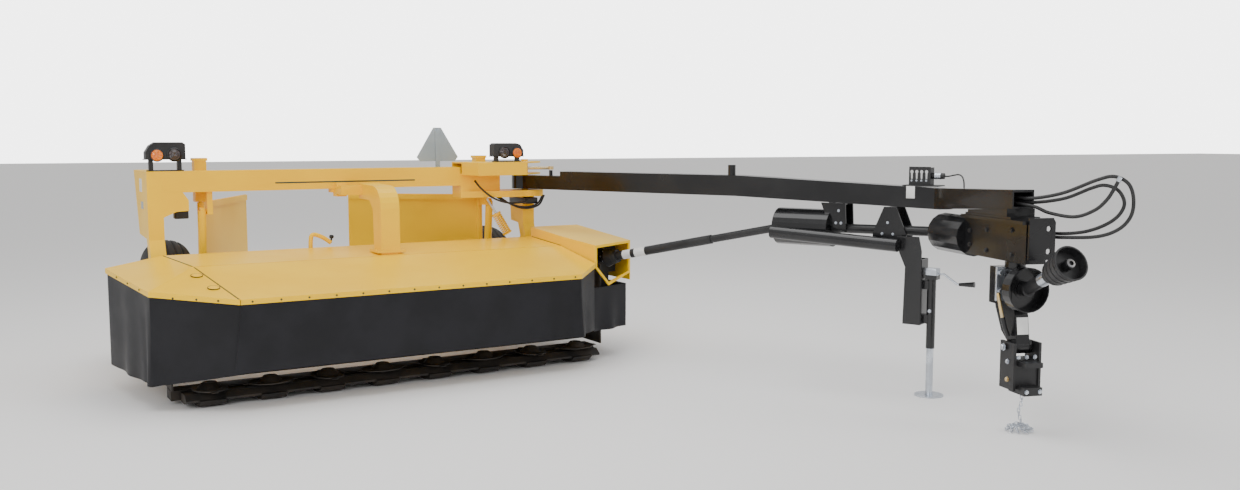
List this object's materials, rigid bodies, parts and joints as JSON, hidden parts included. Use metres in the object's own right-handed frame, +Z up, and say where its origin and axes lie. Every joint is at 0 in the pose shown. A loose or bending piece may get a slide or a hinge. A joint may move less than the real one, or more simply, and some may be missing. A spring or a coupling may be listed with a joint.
{
  "type": "disc mower conditioner",
  "caption": "Side-pull disc mower conditioner: lowered header under a sloped hood with curtains, arched trail frame on two wheels, swinging tongue with driveline, jack and swivel hitch.",
  "frame": {"origin": "on the ground, under the middle of the machine's bounding box", "axes": "-Y is the direction of travel, +X is the machine's left, +Z is up"},
  "size_m": [5.0304, 6.2604, 1.885],
  "materials": {
    "bare_steel": "satin",
    "black_paint": "gloss",
    "black_plastic": "satin",
    "black_rubber": "matte",
    "gearbox_iron": "satin",
    "sign_back": "satin",
    "tyre_rubber": "matte",
    "yellow_paint": "gloss",
    "zinc_plate": "satin"
  },
  "bodies": {
    "machine": {"top_panel": "yellow_paint", "right_end_cover": "yellow_paint", "gearbox_cover": "yellow_paint", "right_curtain": "black_rubber", "left_curtain": "black_rubber", "header_frame": "yellow_paint", "cutterbar": "bare_steel", "header_gearbox": "gearbox_iron", "frame_beam": "yellow_paint", "right_leg": "yellow_paint", "left_leg": "yellow_paint", "tongue_clevis": "yellow_paint", "right_lamp": "black_plastic", "left_lamp": "black_plastic", "slow_vehicle_sign": "sign_back", "centre_link": "yellow_paint", "flotation_spring": "yellow_paint", "right_lift_cylinder": "yellow_paint", "left_lift_cylinder": "yellow_paint"},
    "front_lid": {"front_cover": "yellow_paint", "front_curtain": "black_rubber"},
    "lower_roll": {"lower_roll": "black_rubber"},
    "upper_roll": {"upper_roll": "black_rubber"},
    "right_windrow_shield": {"right_windrow_shield": "yellow_paint"},
    "left_windrow_shield": {"left_windrow_shield": "yellow_paint"},
    "right_arm": {"right_wheel_arm": "yellow_paint"},
    "left_arm": {"left_wheel_arm": "yellow_paint"},
    "right_wheel": {"right_rim": "yellow_paint", "right_tyre": "tyre_rubber"},
    "left_wheel": {"left_rim": "yellow_paint", "left_tyre": "tyre_rubber"},
    "tongue": {"tongue_beam": "black_paint", "driveline_shield": "black_paint", "front_hanger": "black_paint", "front_shaft": "black_plastic", "hose_holder": "bare_steel", "jack_mast": "black_paint", "jack_tube": "black_paint", "nose_pad": "black_paint", "hitch_head": "black_paint", "hose_outer": "black_rubber", "hose_inner": "black_rubber", "hose_lower": "black_rubber", "lamp_cable": "black_rubber"},
    "jack_leg": {"jack_leg": "zinc_plate"},
    "hitch_swivel": {"swivel_gearbox": "gearbox_iron", "pto_shaft": "black_plastic"},
    "drawbar_clevis": {"drawbar_clevis": "black_paint", "safety_chain": "zinc_plate"},
    "driveline": {"driveline": "black_plastic"},
    "swing_barrel": {"swing_barrel": "black_paint"},
    "swing_rod": {"swing_rod": "bare_steel"},
    "disc_1": {"disc_1": "bare_steel"},
    "disc_2": {"disc_2": "bare_steel"},
    "disc_3": {"disc_3": "bare_steel"},
    "disc_4": {"disc_4": "bare_steel"},
    "disc_5": {"disc_5": "bare_steel"},
    "disc_6": {"disc_6": "bare_steel"},
    "disc_7": {"disc_7": "bare_steel"},
    "disc_8": {"disc_8": "bare_steel"}
  },
  "joints": [
    {"name": "tongue_swing", "type": "hinge", "parent": "machine", "child": "tongue", "pos_m": [0.93977, 1.83096, 1.43], "axis": [0, 0, 1], "range_deg": [-37, 8]},
    {"name": "driveline_swing", "type": "hinge", "parent": "machine", "child": "driveline", "pos_m": [1.21477, 0.81096, 0.812], "axis": [0, 0, 1], "range_deg": [-62, 14]},
    {"name": "swing_barrel_hinge", "type": "hinge", "parent": "machine", "child": "swing_barrel", "pos_m": [0.40477, 1.72096, 1.536], "axis": [0, 0, 1], "range_deg": [-9, 3]},
    {"name": "swing_rod_slide", "type": "slide", "parent": "swing_barrel", "child": "swing_rod", "axis": [0.9689, -0.2473, 0], "range_m": [-0.185, 0.045]},
    {"name": "hitch_turn", "type": "hinge", "parent": "tongue", "child": "hitch_swivel", "pos_m": [2.1088, -2.51548, 1.03], "axis": [0, 0, 1], "range_deg": [-90, 90]},
    {"name": "clevis_pitch", "type": "hinge", "parent": "hitch_swivel", "child": "drawbar_clevis", "pos_m": [2.08601, -2.58166, 0.525], "axis": [0.9455, -0.3256, 0], "range_deg": [-15, 15]},
    {"name": "jack_crank", "type": "slide", "parent": "tongue", "child": "jack_leg", "axis": [0, 0, 1], "range_m": [-0.05, 0.12]},
    {"name": "right_arm_lift", "type": "hinge", "parent": "machine", "child": "right_arm", "pos_m": [-1.74523, 1.77096, 0.5], "axis": [1, 0, 0], "range_deg": [-25, 5]},
    {"name": "left_arm_lift", "type": "hinge", "parent": "machine", "child": "left_arm", "pos_m": [0.55477, 1.77096, 0.5], "axis": [1, 0, 0], "range_deg": [-25, 5]},
    {"name": "right_wheel_spin", "type": "hinge", "parent": "right_arm", "child": "right_wheel", "pos_m": [-1.98023, 2.38096, 0.4925], "axis": [1, 0, 0], "continuous": true},
    {"name": "left_wheel_spin", "type": "hinge", "parent": "left_arm", "child": "left_wheel", "pos_m": [0.78977, 2.38096, 0.4925], "axis": [1, 0, 0], "continuous": true},
    {"name": "disc_1_spin", "type": "hinge", "parent": "machine", "child": "disc_1", "pos_m": [-2.01273, 0.72096, 0.12], "axis": [0, 0, 1], "continuous": true},
    {"name": "disc_2_spin", "type": "hinge", "parent": "machine", "child": "disc_2", "pos_m": [-1.60773, 0.72096, 0.12], "axis": [0, 0, 1], "continuous": true},
    {"name": "disc_3_spin", "type": "hinge", "parent": "machine", "child": "disc_3", "pos_m": [-1.20273, 0.72096, 0.12], "axis": [0, 0, 1], "continuous": true},
    {"name": "disc_4_spin", "type": "hinge", "parent": "machine", "child": "disc_4", "pos_m": [-0.79773, 0.72096, 0.12], "axis": [0, 0, 1], "continuous": true},
    {"name": "disc_5_spin", "type": "hinge", "parent": "machine", "child": "disc_5", "pos_m": [-0.39273, 0.72096, 0.12], "axis": [0, 0, 1], "continuous": true},
    {"name": "disc_6_spin", "type": "hinge", "parent": "machine", "child": "disc_6", "pos_m": [0.01227, 0.72096, 0.12], "axis": [0, 0, 1], "continuous": true},
    {"name": "disc_7_spin", "type": "hinge", "parent": "machine", "child": "disc_7", "pos_m": [0.41727, 0.72096, 0.12], "axis": [0, 0, 1], "continuous": true},
    {"name": "disc_8_spin", "type": "hinge", "parent": "machine", "child": "disc_8", "pos_m": [0.82227, 0.72096, 0.12], "axis": [0, 0, 1], "continuous": true},
    {"name": "lower_roll_spin", "type": "hinge", "parent": "machine", "child": "lower_roll", "pos_m": [-0.59523, 1.20096, 0.34], "axis": [1, 0, 0], "continuous": true},
    {"name": "upper_roll_spin", "type": "hinge", "parent": "machine", "child": "upper_roll", "pos_m": [-0.59523, 1.29096, 0.615], "axis": [1, 0, 0], "continuous": true},
    {"name": "front_lid_hinge", "type": "hinge", "parent": "machine", "child": "front_lid", "pos_m": [-0.59523, 1.11096, 0.9], "axis": [-1, 0, 0], "range_deg": [0, 75]},
    {"name": "right_windrow_swing", "type": "hinge", "parent": "machine", "child": "right_windrow_shield", "pos_m": [-1.77523, 2.02596, 0.9], "axis": [0, 0, -1], "range_deg": [0, 20]},
    {"name": "left_windrow_swing", "type": "hinge", "parent": "machine", "child": "left_windrow_shield", "pos_m": [0.58477, 2.02596, 0.9], "axis": [0, 0, 1], "range_deg": [0, 20]}
  ],
  "couplings": [
    {"joint": "driveline_swing", "follows": "tongue_swing", "ratio": 1.645},
    {"joint": "swing_barrel_hinge", "follows": "tongue_swing", "ratio": 0.21},
    {"joint": "swing_rod_slide", "follows": "tongue_swing", "m_per_rad": 0.27},
    {"joint": "left_arm_lift", "follows": "right_arm_lift", "ratio": 1},
    {"joint": "upper_roll_spin", "follows": "lower_roll_spin", "ratio": -1},
    {"joint": "disc_2_spin", "follows": "disc_1_spin", "ratio": -1},
    {"joint": "disc_3_spin", "follows": "disc_1_spin", "ratio": 1},
    {"joint": "disc_4_spin", "follows": "disc_1_spin", "ratio": -1},
    {"joint": "disc_5_spin", "follows": "disc_1_spin", "ratio": 1},
    {"joint": "disc_6_spin", "follows": "disc_1_spin", "ratio": -1},
    {"joint": "disc_7_spin", "follows": "disc_1_spin", "ratio": 1},
    {"joint": "disc_8_spin", "follows": "disc_1_spin", "ratio": -1}
  ]
}
